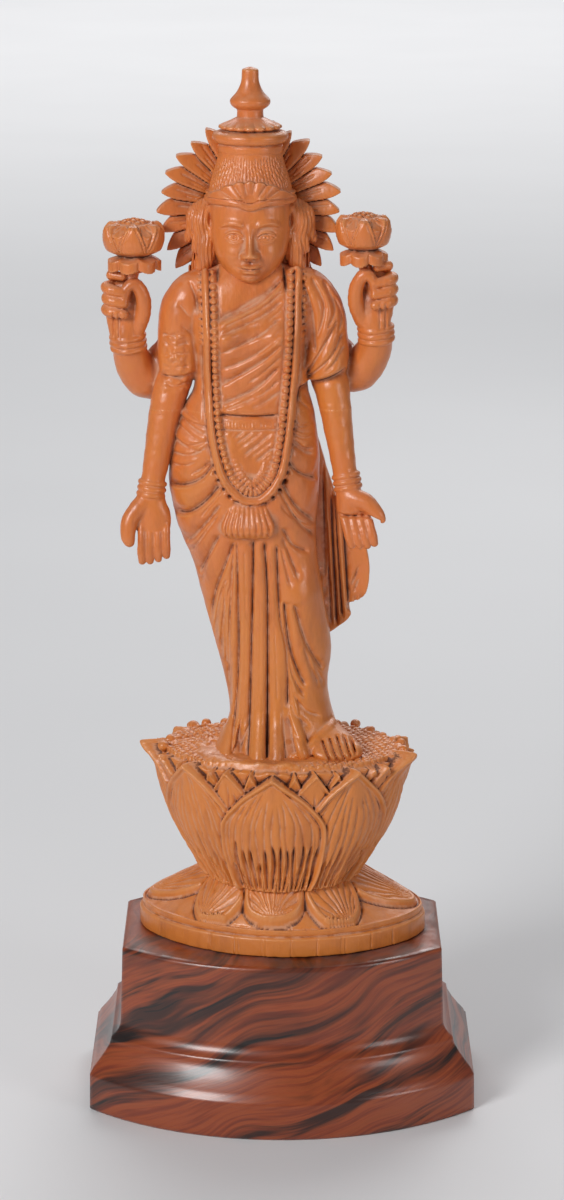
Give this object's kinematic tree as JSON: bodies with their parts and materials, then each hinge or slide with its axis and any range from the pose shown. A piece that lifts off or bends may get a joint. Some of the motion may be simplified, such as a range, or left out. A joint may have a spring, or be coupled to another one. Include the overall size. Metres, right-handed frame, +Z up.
{
  "type": "carved deity statuette",
  "caption": "Standing four-armed goddess holding lotus buds, carved with halo, garland and lotus throne from one block of pale wood, on a stepped dark hardwood plinth with bowed faces.",
  "frame": {"origin": "middle of the plinth's underside", "axes": "+Z up to the tip of the crown, the figure faces -Y, +X to the right as seen from the front"},
  "size_m": [0.1118, 0.0932, 0.2991],
  "materials": {
    "sandalwood": "satin",
    "rosewood": "satin"
  },
  "bodies": {
    "root": {"carved_figure": "sandalwood", "plinth": "rosewood"}
  },
  "joints": []
}
